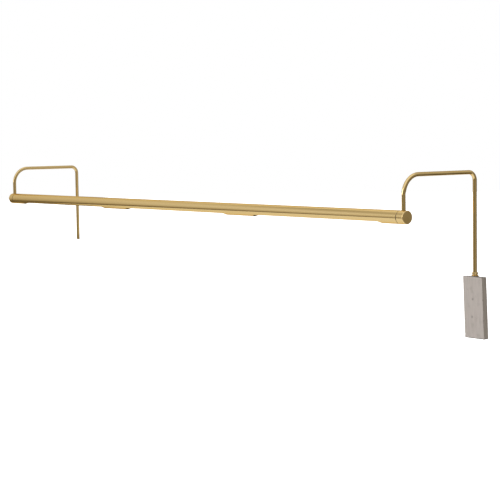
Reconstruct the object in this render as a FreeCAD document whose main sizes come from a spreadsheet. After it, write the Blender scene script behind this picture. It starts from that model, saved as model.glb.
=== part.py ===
import FreeCAD, Part
import math
import os
from types import SimpleNamespace

import Sketcher

# A slim picture light: a long brass shade tube that turns between two bent arms.
#
# Lengths are in millimetres. X runs along the shade, Y points from the shade to the wall, and Z
# points up. The origin is midway between the two rods that hang behind the picture, level with
# the shade's axis.

DRIVING_DIMENSIONS = [
    ("overall_length", 1446.0, "over the two end caps"),
    ("shade_diameter", 25.4, "shade tube and end knuckles"),
    ("shade_wall", 1.0, "wall of the shade tube"),
    ("window_length", 380.0, "each window, over its round ends"),
    ("window_width", 17.5, "each window"),
    ("window_pitch", 470.0, "centre to centre of the windows"),
    ("rod_diameter", 7.94, "outside of the bent arm rods"),
    ("rod_wall", 1.2, "wall of the arm rods"),
    ("arm_inset", 10.0, "end face of the shade to the rod's axis"),
    ("arm_reach", 187.3, "shade axis to the hanging rod's axis"),
    ("arm_rise", 77.0, "shade axis to the arm's top run"),
    ("arm_drop", 115.5, "shade axis down to the rod's lower end"),
    ("front_bend", 38.0, "radius of the bend above the shade"),
    ("back_bend", 16.0, "radius of the bend behind the picture"),
    ("rod_seat", 4.0, "height of the rod's inner end above the shade axis"),
    ("knuckle_length", 17.5, "end knuckle with its cap"),
    ("knuckle_bore", 19.0, "hollow inside the knuckle"),
    ("knuckle_web", 3.1, "wall that carries the pivot nipple"),
    ("cap_thickness", 2.5, "rim of the end cap"),
    ("cap_spigot", 3.0, "length of the cap's spigot"),
    ("cap_rounding", 1.6, "rounded edge of the end cap"),
    ("edge_bevel", 0.5, "broken edges of turned pieces"),
    ("fit_gap", 0.05, "radial clearance of running and slip fits"),
    ("holder_gap", 0.15, "radial clearance of a lamp's cap in its holder"),
    ("overrun", 1.0, "how far a cutting tool starts outside its piece"),
    ("face_gap", 0.1, "clearance between faces that turn on each other"),
    ("washer_thickness", 1.5, "friction washer between knuckle and shade"),
    ("washer_diameter", 24.0, "friction washer"),
    ("nipple_diameter", 9.8, "threaded pivot nipple"),
    ("nipple_bore", 7.0, "wire way through the nipple"),
    ("plug_thickness", 5.0, "plug in each end of the shade tube"),
    ("spring_height", 1.2, "coned spring washer"),
    ("spring_diameter", 17.0, "coned spring washer"),
    ("spring_sheet", 0.6, "coned spring washer's thickness"),
    ("nut_thickness", 3.0, "pivot nut"),
    ("nut_width", 14.0, "pivot nut across flats"),
    ("nipple_spare", 1.0, "end of the nipple past its nut"),
    ("grub_diameter", 4.0, "grub screw that grips the rod"),
    ("grub_length", 6.0, "grub screw that grips the rod"),
    ("grub_socket", 2.0, "depth of the grub screw's socket"),
    ("plug_screw_diameter", 3.0, "screw that holds the shade plug"),
    ("plug_screw_inset", 1.0, "nipple to the plug screw's inner end"),
    ("tray_length", 412.0, "lamp tray over its end tabs"),
    ("tray_sheet", 0.4, "thickness of the tray"),
    ("tray_half_roof", 6.1, "half the width of the tray's flat roof"),
    ("tray_roof", 9.8, "height of the tray's roof over the axis"),
    ("tray_half_width", 10.2, "axis to the outside of the tray's side"),
    ("tray_shoulder", 5.5, "height where the tray's side turns inwards"),
    ("tray_skirt", 2.0, "depth of the tray's side below the axis"),
    ("tab_sheet", 0.8, "thickness of the tray's end tabs"),
    ("tab_half_width", 5.8, "half the width of an end tab"),
    ("tab_depth", 7.0, "depth of an end tab below the axis"),
    ("tray_screw_offset", 120.0, "tray screws to the middle of the tray"),
    ("tray_screw_diameter", 2.5, "tray screws"),
    ("tray_screw_head", 5.0, "tray screw's head"),
    ("tray_screw_head_height", 1.3, "tray screw's head"),
    ("holder_length", 25.0, "lamp holder"),
    ("holder_diameter", 17.8, "lamp holder"),
    ("holder_depth", 20.0, "bore that takes the lamp's cap"),
    ("rivet_diameter", 3.0, "rivet that holds a lamp holder"),
    ("rivet_head", 5.6, "rivet's head"),
    ("rivet_head_height", 1.0, "rivet's head"),
    ("lamp_length", 185.0, "lamp from contact to tip"),
    ("lamp_diameter", 17.5, "glass of the lamp"),
    ("lamp_glass_wall", 0.8, "glass of the lamp"),
    ("lamp_neck", 7.0, "tapered neck of the glass"),
    ("lamp_cap_diameter", 11.9, "screw cap of the lamp"),
    ("lamp_cap_length", 18.0, "screw cap of the lamp"),
    ("lamp_contact", 1.5, "centre contact of the lamp"),
    ("lamp_spare", 1.0, "lamp's contact to the floor of its holder"),
    ("wire_diameter", 1.5, "wires in the shade"),
    ("wire_spacing", 3.2, "between the two wires in the shade"),
    ("wire_height", 10.75, "wires above the shade axis"),
    ("wire_bend", 2.25, "bend radius of the wires"),
    ("wire_riser", 2.5, "crimp sleeves to the upright part of the wires"),
    ("wire_drop", 1.2, "diameter of the short wires into a holder"),
    ("drop_inset", 11.0, "end of the tray to the short wires"),
    ("splice_diameter", 2.7, "crimp sleeve on each wire"),
    ("splice_length", 4.5, "crimp sleeve on each wire"),
    ("splice_gap", 2.0, "nipple to the crimp sleeves"),
    ("lead_diameter", 4.0, "twin lead inside the arm"),
    ("lead_bend", 4.5, "bend of the lead inside the knuckle"),
    ("lead_start", 5.0, "height where the lead's tail joins it"),
    ("lead_spare", 1.0, "lead past the nipple, and short of the bush"),
    ("bush_length", 8.0, "insulating bush in the rod's lower end"),
    ("bush_bore", 4.2, "cable way through the bush"),
    ("bush_flange", 6.8, "rim of the bush"),
    ("bush_rim", 0.6, "thickness of the bush's rim"),
    ("weight_width", 49.2, "counterweight along the shade"),
    ("weight_thickness", 12.7, "counterweight front to back"),
    ("weight_height", 118.0, "counterweight"),
    ("weight_top", 121.0, "shade axis down to the counterweight"),
    ("weight_lean_top", 1.3, "how far the counterweight's top leans in"),
    ("weight_lean_foot", 3.6, "how far the counterweight's foot leans out"),
    ("weight_edge", 0.5, "broken edges of the counterweight"),
    ("stud_grip", 12.5, "stud inside the rod"),
    ("stud_reach", 20.0, "stud inside the counterweight"),
    ("stud_hole_spare", 2.0, "depth of the hole past the stud"),
    ("lock_washer_diameter", 15.0, "washer on the counterweight"),
    ("lock_washer_thickness", 0.8, "washer on the counterweight"),
    ("lock_nut_width", 12.2, "lock nut across flats"),
    ("lock_nut_height", 7.3, "lock nut"),
]

WINDOW_STEPS = (-1, 0, 1)
SHEET_NAME = "Dimensions"

# Two points closer than this are the same point.
TOUCHING = 0.0001


class Size:
    """A length that carries its value and the spreadsheet expression it comes from."""

    def __init__(self, value, text):
        self.value = value
        self.text = text

    def combined(self, other, sign, value):
        other_text = other.text if isinstance(other, Size) else repr(other)
        return Size(value, f"({self.text} {sign} {other_text})")

    def __add__(self, other):
        return self.combined(other, "+", self.value + number(other))

    __radd__ = __add__

    def __sub__(self, other):
        return self.combined(other, "-", self.value - number(other))

    def __mul__(self, other):
        return self.combined(other, "*", self.value * number(other))

    def __truediv__(self, other):
        return self.combined(other, "/", self.value / number(other))

    def __neg__(self):
        return self * -1


def number(size):
    """The plain number of a Size or of a number."""
    return size.value if isinstance(size, Size) else size


def fill_sheet(sheet):
    """Write the driving dimensions into the spreadsheet and return them as Sizes by name."""
    sizes = {}
    for row, (alias, value, note) in enumerate(DRIVING_DIMENSIONS, start=1):
        sheet.set(f"A{row}", str(value))
        sheet.setAlias(f"A{row}", alias)
        sheet.set(f"B{row}", note)
        sizes[alias] = Size(value, f"{SHEET_NAME}.{alias}")
    return SimpleNamespace(**sizes)


doc = FreeCAD.newDocument("PictureLight")
dimensions = doc.addObject("Spreadsheet::Sheet", SHEET_NAME)
D = fill_sheet(dimensions)
doc.recompute()

HALF = D.overall_length / 2
ROD_X = HALF - D.arm_inset
SHADE_RADIUS = D.shade_diameter / 2
SHADE_BORE = SHADE_RADIUS - D.shade_wall
ROD_RADIUS = D.rod_diameter / 2
ROD_BORE = ROD_RADIUS - D.rod_wall
NIPPLE_RADIUS = D.nipple_diameter / 2
STUD_RADIUS = ROD_BORE - D.fit_gap

# Turned end pieces are measured from the outer end face towards the middle of the shade.
WEB_START = D.knuckle_length - D.knuckle_web
WASHER_END = D.knuckle_length + D.washer_thickness
SHADE_START = WASHER_END + D.face_gap
PLUG_END = SHADE_START + D.plug_thickness
SPRING_START = PLUG_END + D.face_gap
NUT_START = SPRING_START + D.spring_height
NIPPLE_START = WEB_START
NIPPLE_END = NUT_START + D.nut_thickness + D.nipple_spare

# Local z runs along the shade, local x points up, and local y lies level.
UP = FreeCAD.Vector(0, 0, 1)
TO_RIGHT = FreeCAD.Rotation(UP, FreeCAD.Vector(0, -1, 0), FreeCAD.Vector(1, 0, 0), "ZXY")
TO_LEFT = FreeCAD.Rotation(UP, FreeCAD.Vector(0, 1, 0), FreeCAD.Vector(-1, 0, 0), "ZXY")
UPRIGHT = FreeCAD.Rotation()

# Each end of the light: its name, its side of the origin, the turn that points local z inwards,
# and the sign of local y towards the wall.
ENDS = [
    SimpleNamespace(name="left", sign=-1, inward=TO_RIGHT, back=-1),
    SimpleNamespace(name="right", sign=1, inward=TO_LEFT, back=1),
]

sub_parts = []


def bind(thing, **sizes):
    """Set properties, and tie each one that is a Size to the spreadsheet."""
    for name, size in sizes.items():
        setattr(thing, name, number(size))
        if isinstance(size, Size):
            thing.setExpression(name, size.text)


def place(thing, position=(0, 0, 0), rotation=UPRIGHT):
    """Turn a piece and put it at a position tied to the spreadsheet."""
    base = FreeCAD.Vector(*[number(size) for size in position])
    thing.Placement = FreeCAD.Placement(base, rotation)
    for axis, size in zip("xyz", position):
        if isinstance(size, Size):
            thing.setExpression(f"Placement.Base.{axis}", size.text)
    return thing


def finished(thing, label, position=(0, 0, 0), rotation=UPRIGHT):
    """Name a finished sub-part, place it, and list it for export."""
    thing.Label = label
    sub_parts.append(thing)
    return place(thing, position, rotation)


def at_end(end):
    """The middle of an end face of the shade."""
    return (HALF * end.sign, -D.arm_reach, 0)


# Part primitives and booleans


def cylinder(radius, height, position=(0, 0, 0), rotation=UPRIGHT):
    tool = doc.addObject("Part::Cylinder", "Cylinder")
    bind(tool, Radius=radius, Height=height)
    return place(tool, position, rotation)


def through_hole(radius, start, thickness):
    """A cylinder along z that cuts right through a piece starting at a height."""
    return cylinder(radius, thickness + D.overrun * 2, (0, 0, start - D.overrun))


def cone(lower_radius, upper_radius, height, position=(0, 0, 0)):
    tool = doc.addObject("Part::Cone", "Cone")
    bind(tool, Radius1=lower_radius, Radius2=upper_radius, Height=height)
    return place(tool, position)


def sphere(radius, position=(0, 0, 0)):
    tool = doc.addObject("Part::Sphere", "Sphere")
    bind(tool, Radius=radius)
    return place(tool, position)


def box(length, width, height, position=(0, 0, 0)):
    tool = doc.addObject("Part::Box", "Box")
    bind(tool, Length=length, Width=width, Height=height)
    return place(tool, position)


def hexagon(across_flats, height, position=(0, 0, 0)):
    tool = doc.addObject("Part::Prism", "Hexagon")
    tool.Polygon = 6
    bind(tool, Circumradius=across_flats / math.sqrt(3), Height=height)
    return place(tool, position)


def fuse(*pieces):
    union = doc.addObject("Part::MultiFuse", "Fuse")
    union.Shapes = list(pieces)
    return union


def cut(base, *tools):
    result = doc.addObject("Part::Cut", "Cut")
    result.Base = base
    result.Tool = tools[0] if len(tools) == 1 else fuse(*tools)
    return result


def common(first, second):
    result = doc.addObject("Part::Common", "Common")
    result.Base = first
    result.Tool = second
    return result


def group(pieces):
    """Identical separate pieces that share one node."""
    result = doc.addObject("Part::Compound", "Group")
    result.Links = list(pieces)
    return result


# Sketches, each pinned to its body's origin planes by expressions


def new_body():
    return doc.addObject("PartDesign::Body", "Body")


def new_sketch(body, plane):
    sketch = body.newObject("Sketcher::SketchObject", "Sketch")
    support = next(f for f in body.Origin.OriginFeatures if f.Role == plane)
    sketch.AttachmentSupport = [(support, "")]
    sketch.MapMode = "FlatFace"
    return sketch


def constrain(sketch, kind, *references, size):
    """Add a dimension to a sketch and tie it to the spreadsheet."""
    index = sketch.addConstraint(Sketcher.Constraint(kind, *references, number(size)))
    if isinstance(size, Size):
        sketch.renameConstraint(index, f"size{index}")
        sketch.setExpression(f"Constraints.size{index}", size.text)


def pin_coordinate(sketch, kind, geometry, point, size):
    """Hold one coordinate of a sketch point, from the origin outwards."""
    axis = -2 if kind == "DistanceX" else -1
    if number(size) == 0:
        sketch.addConstraint(Sketcher.Constraint("PointOnObject", geometry, point, axis))
    elif number(size) < 0:
        constrain(sketch, kind, geometry, point, -1, 1, size=-size)
    else:
        constrain(sketch, kind, -1, 1, geometry, point, size=size)


def vector(point):
    return FreeCAD.Vector(number(point[0]), number(point[1]), 0)


def add_polygon(sketch, points):
    """A closed outline of straight lines through points whose coordinates are Sizes."""
    lines = []
    for point, following in zip(points, points[1:] + points[:1]):
        lines.append(sketch.addGeometry(Part.LineSegment(vector(point), vector(following))))
    for line, following in zip(lines, lines[1:] + lines[:1]):
        sketch.addConstraint(Sketcher.Constraint("Coincident", line, 2, following, 1))
    for line, point in zip(lines, points):
        pin_coordinate(sketch, "DistanceX", line, 1, point[0])
        pin_coordinate(sketch, "DistanceY", line, 1, point[1])


def add_circle(sketch, centre, radius):
    circle = Part.Circle(vector(centre), FreeCAD.Vector(0, 0, 1), number(radius))
    geometry = sketch.addGeometry(circle)
    pin_coordinate(sketch, "DistanceX", geometry, 3, centre[0])
    pin_coordinate(sketch, "DistanceY", geometry, 3, centre[1])
    constrain(sketch, "Radius", geometry, size=radius)


def add_slot(sketch, centre_x, length, width):
    """A slot along the sketch's x axis, with full-radius ends."""
    radius = width / 2
    half_run = length / 2 - radius
    arcs = []
    for side in (-1, 1):
        middle = centre_x + half_run * side
        circle = Part.Circle(vector((middle, 0)), FreeCAD.Vector(0, 0, 1), number(radius))
        first = math.pi / 2 * -side
        arc = sketch.addGeometry(Part.ArcOfCircle(circle, first, first + math.pi))
        pin_coordinate(sketch, "DistanceX", arc, 3, middle)
        pin_coordinate(sketch, "DistanceY", arc, 3, 0)
        constrain(sketch, "Radius", arc, size=radius)
        arcs.append((arc, middle))
    (left, left_x), (right, right_x) = arcs
    for left_end, right_end, side in ((1, 2, 1), (2, 1, -1)):
        line = sketch.addGeometry(
            Part.LineSegment(vector((left_x, radius * side)), vector((right_x, radius * side)))
        )
        sketch.addConstraint(Sketcher.Constraint("Tangent", left, left_end, line, 1))
        sketch.addConstraint(Sketcher.Constraint("Tangent", line, 2, right, right_end))


def add_bent_path(sketch, corners, radii):
    """An open path of level and upright runs, joined at its corners by tangent arcs."""
    starts, stops = [corners[0]], []
    for before, corner, after, radius in zip(corners, corners[1:], corners[2:], radii):
        stops.append(step_towards(corner, before, radius))
        starts.append(step_towards(corner, after, radius))
    stops.append(corners[-1])
    lines = []
    for start, stop in zip(starts, stops):
        line = sketch.addGeometry(Part.LineSegment(vector(start), vector(stop)))
        upright = number(start[0]) == number(stop[0])
        sketch.addConstraint(Sketcher.Constraint("Vertical" if upright else "Horizontal", line))
        kind, size = ("DistanceX", start[0]) if upright else ("DistanceY", start[1])
        pin_coordinate(sketch, kind, line, 1, size)
        lines.append(line)
    ends = ((lines[0], 1, corners[0], corners[1]), (lines[-1], 2, corners[-1], corners[-2]))
    for line, point, corner, neighbour in ends:
        upright = number(corner[0]) == number(neighbour[0])
        kind, size = ("DistanceY", corner[1]) if upright else ("DistanceX", corner[0])
        pin_coordinate(sketch, kind, line, point, size)
    joints = zip(lines, lines[1:], stops, starts[1:], corners[1:], radii)
    for line, following, start, stop, corner, radius in joints:
        add_tangent_arc(sketch, line, following, start, stop, corner, radius)


def step_towards(corner, other, radius):
    """The point a bend's radius away from a corner, on the way to another corner."""
    point = []
    for own, far in zip(corner, other):
        way = number(far) - number(own)
        point.append(own if way == 0 else own + radius * int(math.copysign(1, way)))
    return tuple(point)


def add_tangent_arc(sketch, line, following, start, stop, corner, radius):
    first, last, sharp = vector(start), vector(stop), vector(corner)
    centre = first + last - sharp
    middle = centre + (sharp - centre).normalize() * number(radius)
    arc = sketch.addGeometry(Part.Arc(first, middle, last))
    turns_left = (sharp - first).cross(last - sharp).z > 0
    head, tail = (1, 2) if turns_left else (2, 1)
    sketch.addConstraint(Sketcher.Constraint("Tangent", line, 2, arc, head))
    sketch.addConstraint(Sketcher.Constraint("Tangent", arc, tail, following, 1))
    constrain(sketch, "Radius", arc, size=radius)


# Features of a body


def pad(body, sketch, length, midplane=False):
    feature = body.newObject("PartDesign::Pad", "Pad")
    feature.Profile = sketch
    feature.Midplane = midplane
    bind(feature, Length=length)
    return feature


def pocket(body, sketch, length):
    """Cut from the sketch's plane, against its normal, to a depth."""
    feature = body.newObject("PartDesign::Pocket", "Pocket")
    feature.Profile = sketch
    bind(feature, Length=length)
    return feature


def turned(profile):
    """A turned piece: an outline of (distance along z, radius) points, revolved about z."""
    body = new_body()
    sketch = new_sketch(body, "XZ_Plane")
    add_polygon(sketch, [(radius, along) for along, radius in profile])
    feature = body.newObject("PartDesign::Revolution", "Revolution")
    feature.Profile = sketch
    feature.ReferenceAxis = (sketch, ["V_Axis"])
    feature.Angle = 360.0
    return body


def bent_tube(corners, radii, outer_radius, inner_radius=None, plane="YZ_Plane"):
    """A tube or a solid rod along a bent path of (level, height) corners in a plane."""
    body = new_body()
    path = new_sketch(body, plane)
    add_bent_path(path, corners, radii)
    section = body.newObject("Sketcher::SketchObject", "Section")
    section.AttachmentSupport = [(path, "Edge1")]
    section.MapMode = "NormalToEdge"
    for radius in (outer_radius, inner_radius):
        if radius is not None:
            add_circle(section, (0, 0), radius)
    pipe = body.newObject("PartDesign::AdditivePipe", "Pipe")
    pipe.Profile = section
    pipe.Spine = path
    return body


# The two ends


def make_end_cap(end):
    """The flat cap that closes the knuckle, with a spigot that slips into its bore."""
    spigot = D.knuckle_bore / 2 - D.fit_gap
    rim = D.cap_thickness
    body = turned([
        (0, 0),
        (0, SHADE_RADIUS),
        (rim, SHADE_RADIUS),
        (rim, spigot),
        (rim + D.cap_spigot, spigot),
        (rim + D.cap_spigot, 0),
    ])
    doc.recompute()
    blank = body.Tip
    face_edge = [
        f"Edge{index}"
        for index, edge in enumerate(blank.Shape.Edges, start=1)
        if abs(edge.BoundBox.ZMax) < TOUCHING and edge.BoundBox.ZLength < TOUCHING
        and abs(edge.BoundBox.XMax - number(SHADE_RADIUS)) < TOUCHING
    ]
    rounding = body.newObject("PartDesign::Fillet", "Fillet")
    rounding.Base = (blank, face_edge)
    bind(rounding, Radius=D.cap_rounding)
    finished(body, f"{end.name}_end_cap", at_end(end), end.inward)


def make_knuckle(end):
    """The fixed end piece: a cup bored for the arm rod, its grub screw and the pivot nipple."""
    bore = D.knuckle_bore / 2
    nipple_hole = NIPPLE_RADIUS + D.fit_gap
    cup = turned([
        (D.cap_thickness, bore),
        (D.cap_thickness, SHADE_RADIUS),
        (D.knuckle_length, SHADE_RADIUS),
        (D.knuckle_length, nipple_hole),
        (WEB_START, nipple_hole),
        (WEB_START, bore),
    ])
    rod_hole = cylinder(
        ROD_RADIUS + D.fit_gap,
        D.shade_diameter,
        (0, 0, D.arm_inset),
        FreeCAD.Rotation(FreeCAD.Vector(0, 1, 0), 90),
    )
    grub_hole = cylinder(D.grub_diameter / 2, D.shade_diameter, *grub_line(end, 0))
    finished(cut(cup, rod_hole, grub_hole), f"{end.name}_end_knuckle", at_end(end), end.inward)


def grub_height():
    """Half-way between the rod's inner end and the bottom of the knuckle's wall above it."""
    return (D.rod_seat + D.knuckle_bore / 2) / 2


def grub_line(end, start):
    """Where a tool starts and how it is turned to run level towards the wall, at the rod."""
    turn = FreeCAD.Rotation(FreeCAD.Vector(1, 0, 0), -90 * end.back)
    return (grub_height(), start, D.arm_inset), turn


def make_grub_screw(end):
    """The set screw in the knuckle's back that grips the arm rod, with a hexagon socket."""
    start = ROD_RADIUS + D.fit_gap
    position, turn = grub_line(end, start * end.back)
    shank = cylinder(D.grub_diameter / 2 - D.fit_gap, D.grub_length)
    floor = D.grub_length - D.grub_socket
    socket = hexagon(D.grub_diameter / 2, D.grub_socket + D.overrun, (0, 0, floor))
    screw = cut(shank, socket)
    place(screw, position, turn)
    finished(group([screw]), f"{end.name}_grub_screw", at_end(end), end.inward)


def make_friction_washer(end):
    """The dark washer in the seam between the knuckle and the shade."""
    bore = NIPPLE_RADIUS + D.fit_gap
    body = turned([
        (D.knuckle_length, bore),
        (D.knuckle_length, D.washer_diameter / 2),
        (WASHER_END, D.washer_diameter / 2),
        (WASHER_END, bore),
    ])
    finished(body, f"{end.name}_friction_washer", at_end(end), end.inward)


def make_nipple(end):
    """The hollow threaded nipple, fixed in the knuckle, that the shade turns on."""
    bore = D.nipple_bore / 2
    body = turned([
        (NIPPLE_START, bore),
        (NIPPLE_START, NIPPLE_RADIUS - D.edge_bevel),
        (NIPPLE_START + D.edge_bevel, NIPPLE_RADIUS),
        (NIPPLE_END - D.edge_bevel, NIPPLE_RADIUS),
        (NIPPLE_END, NIPPLE_RADIUS - D.edge_bevel),
        (NIPPLE_END, bore),
    ])
    finished(body, f"{end.name}_pivot_nipple", at_end(end), end.inward)


def make_spring_washer(end):
    """The coned washer that keeps the shade's friction even."""
    bore, rim = NIPPLE_RADIUS + D.fit_gap, D.spring_diameter / 2
    body = turned([
        (SPRING_START, rim),
        (SPRING_START + D.spring_sheet, rim),
        (SPRING_START + D.spring_height, bore),
        (SPRING_START + D.spring_height - D.spring_sheet, bore),
    ])
    finished(body, f"{end.name}_spring_washer", at_end(end), end.inward)


def make_pivot_nut(end):
    """The nut on the nipple that draws the shade's plug against the friction washer."""
    blank = hexagon(D.nut_width, D.nut_thickness, (0, 0, NUT_START))
    hole = through_hole(NIPPLE_RADIUS + D.fit_gap, NUT_START, D.nut_thickness)
    finished(cut(blank, hole), f"{end.name}_pivot_nut", at_end(end), end.inward)


def make_shade_plug(end):
    """The plug screwed into the tube's end, which turns on the pivot nipple."""
    rim, bore = SHADE_BORE - D.fit_gap, NIPPLE_RADIUS + D.fit_gap
    disc = turned([
        (SHADE_START, bore),
        (SHADE_START, rim),
        (PLUG_END, rim),
        (PLUG_END, bore),
    ])
    turn = FreeCAD.Rotation(FreeCAD.Vector(1, 0, 0), -90 * end.back)
    middle = SHADE_START + D.plug_thickness / 2
    inner_end = NIPPLE_RADIUS + D.plug_screw_inset
    hole = cylinder(
        D.plug_screw_diameter / 2, SHADE_RADIUS, (0, inner_end * end.back, middle), turn
    )
    finished(cut(disc, hole), f"{end.name}_shade_plug", at_end(end), end.inward)

    length = SHADE_RADIUS - inner_end - D.shade_wall / 2
    screw = cylinder(
        D.plug_screw_diameter / 2 - D.fit_gap, length, (0, inner_end * end.back, middle), turn
    )
    finished(group([screw]), f"{end.name}_plug_screw", at_end(end), end.inward)


def arm_corners(start_height, end_height):
    """The arm's path in its own plane: up from the shade, back over the picture, and down."""
    return [
        (-D.arm_reach, start_height),
        (-D.arm_reach, D.arm_rise),
        (0, D.arm_rise),
        (0, end_height),
    ]


def make_arm_rod(end):
    """The bent tube from the knuckle, over the top of the picture, and down behind it."""
    body = bent_tube(
        arm_corners(D.rod_seat, -D.arm_drop), [D.front_bend, D.back_bend], ROD_RADIUS, ROD_BORE
    )
    finished(body, f"{end.name}_arm_rod", (ROD_X * end.sign, 0, 0))


# The shade


def make_shade_tube():
    """The long tube, with its windows cut along the underside and its screw holes behind."""
    body = new_body()
    ring = new_sketch(body, "YZ_Plane")
    for radius in (SHADE_RADIUS, SHADE_BORE):
        add_circle(ring, (0, 0), radius)
    pad(body, ring, (HALF - SHADE_START) * 2, midplane=True)
    windows = new_sketch(body, "XY_Plane")
    for step in WINDOW_STEPS:
        add_slot(windows, D.window_pitch * step, D.window_length, D.window_width)
    pocket(body, windows, D.shade_diameter)
    holes = new_sketch(body, "XZ_Plane")
    for step in WINDOW_STEPS:
        for side in (-1, 1):
            centre = D.window_pitch * step + D.tray_screw_offset * side
            add_circle(holes, (centre, 0), D.tray_screw_diameter / 2)
    for side in (-1, 1):
        centre = (HALF - SHADE_START - D.plug_thickness / 2) * side
        add_circle(holes, (centre, 0), D.plug_screw_diameter / 2)
    pocket(body, holes, D.shade_diameter)
    finished(body, "shade_tube", (0, -D.arm_reach, 0))


def make_lamp_tray(number_in_row, step):
    """A folded sheet tray that backs two lamps, with a tab at each end for a lamp holder."""
    sheet, skirt = D.tray_sheet, -D.tray_skirt
    outside = [
        (D.tray_half_width, skirt),
        (D.tray_half_width, D.tray_shoulder),
        (D.tray_half_roof, D.tray_roof),
    ]
    inside = [
        (D.tray_half_width - sheet, skirt),
        (D.tray_half_width - sheet, D.tray_shoulder - sheet / 2),
        (D.tray_half_roof - sheet / 2, D.tray_roof - sheet),
    ]
    right = inside[::-1] + outside
    left = [(-level, height) for level, height in right]
    body = new_body()
    section = new_sketch(body, "YZ_Plane")
    add_polygon(section, right + left[::-1])
    pad(body, section, D.tray_length, midplane=True)

    half_length = D.tray_length / 2
    height = D.tab_depth + D.tray_roof - sheet / 2
    tabs, holes = [], []
    for side, start in ((-1, -half_length), (1, half_length - D.tab_sheet)):
        tabs.append(
            box(
                D.tab_sheet,
                D.tab_half_width * 2,
                height,
                (start, -D.tab_half_width, -D.tab_depth),
            )
        )
        rivet_radius = D.rivet_diameter / 2 + D.fit_gap
        depth = D.tab_sheet + D.overrun * 2
        holes.append(cylinder(rivet_radius, depth, (start - D.overrun, 0, 0), TO_RIGHT))
        for wire in (-1, 1):
            centre = ((half_length - D.drop_inset) * side, D.wire_spacing / 2 * wire, 0)
            holes.append(cylinder(D.wire_drop, SHADE_RADIUS, centre))
        screw_position = (D.tray_screw_offset * side, 0, 0)
        turn = FreeCAD.Rotation(FreeCAD.Vector(1, 0, 0), -90)
        holes.append(cylinder(D.tray_screw_diameter / 2, SHADE_RADIUS, screw_position, turn))
    tray = cut(fuse(body, *tabs), *holes)
    finished(tray, f"lamp_tray_{number_in_row}", (D.window_pitch * step, -D.arm_reach, 0))


def make_tray_screws():
    """The screws through the back of the tube that hold the trays."""
    screws = []
    shank_start = D.tray_half_width - D.tray_sheet
    turn = FreeCAD.Rotation(FreeCAD.Vector(1, 0, 0), -90)
    for step in WINDOW_STEPS:
        for side in (-1, 1):
            along = D.window_pitch * step + D.tray_screw_offset * side
            shank = cylinder(
                D.tray_screw_diameter / 2 - D.fit_gap,
                SHADE_RADIUS - shank_start + D.tray_screw_head_height / 2,
                (along, shank_start, 0),
                turn,
            )
            head = cone(
                D.tray_screw_head / 2, D.tray_screw_head / 2 - D.edge_bevel, D.tray_screw_head_height
            )
            place(head, (along, SHADE_RADIUS, 0), turn)
            slot = box(D.tray_screw_head * 2, D.tray_screw_head, D.tray_sheet * 2)
            place(
                slot,
                (
                    along - D.tray_screw_head,
                    SHADE_RADIUS + D.tray_screw_head_height / 2,
                    -D.tray_sheet,
                ),
            )
            screws.append(cut(fuse(shank, head), slot))
    finished(group(screws), "tray_screws", (0, -D.arm_reach, 0))


def lamp_places():
    """Each lamp's number, the middle of its tray, and the turn that points z out to its holder."""
    places = []
    for step in WINDOW_STEPS:
        for outward in (TO_LEFT, TO_RIGHT):
            places.append((len(places) + 1, (D.window_pitch * step, -D.arm_reach, 0), outward))
    return places


HOLDER_END = D.tray_length / 2 - D.tab_sheet
HOLDER_MOUTH = HOLDER_END - D.holder_length
LAMP_BACK = HOLDER_MOUTH + D.holder_depth - D.lamp_spare
CAP_BACK = LAMP_BACK - D.lamp_contact
CAP_FRONT = CAP_BACK - D.lamp_cap_length
NECK_END = CAP_FRONT - D.lamp_neck
LAMP_TIP = LAMP_BACK - D.lamp_length


def make_lamp_holder(lamp, position, outward):
    """A moulded screw holder: a cup with a rivet hole in its floor."""
    bore = D.lamp_cap_diameter / 2 + D.holder_gap
    shell = cylinder(D.holder_diameter / 2, D.holder_length, (0, 0, HOLDER_MOUTH))
    mouth = cylinder(bore, D.holder_depth + D.overrun, (0, 0, HOLDER_MOUTH - D.overrun))
    rivet_hole = through_hole(D.rivet_diameter / 2 + D.fit_gap, HOLDER_MOUTH, D.holder_length)
    finished(cut(shell, mouth, rivet_hole), f"lamp_holder_{lamp}", position, outward)


def make_lamp_cap(lamp, position, outward):
    """The lamp's metal screw cap, with its centre contact."""
    radius = D.lamp_cap_diameter / 2
    contact = radius / 3
    body = turned([
        (CAP_FRONT, 0),
        (CAP_FRONT, radius),
        (CAP_BACK - D.lamp_contact, radius),
        (CAP_BACK, contact * 2),
        (LAMP_BACK, contact),
        (LAMP_BACK, 0),
    ])
    finished(body, f"lamp_cap_{lamp}", position, outward)


def lamp_form(radius, neck_radius, tip_centre, neck_end, cap_front):
    """A round-tipped cylinder that narrows to a neck."""
    return fuse(
        sphere(radius, (0, 0, tip_centre)),
        cylinder(radius, neck_end - tip_centre, (0, 0, tip_centre)),
        cone(radius, neck_radius, cap_front - neck_end, (0, 0, neck_end)),
    )


def make_lamp_glass(lamp, position, outward):
    """The frosted tubular glass, open at its neck where the cap closes it."""
    radius, neck_radius = D.lamp_diameter / 2, D.lamp_cap_diameter / 2
    wall = D.lamp_glass_wall
    tip_centre = LAMP_TIP + radius
    outside = lamp_form(radius, neck_radius, tip_centre, NECK_END, CAP_FRONT)
    inside = lamp_form(radius - wall, neck_radius - wall, tip_centre, NECK_END, CAP_FRONT)
    finished(cut(outside, inside), f"lamp_glass_{lamp}", position, outward)


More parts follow.
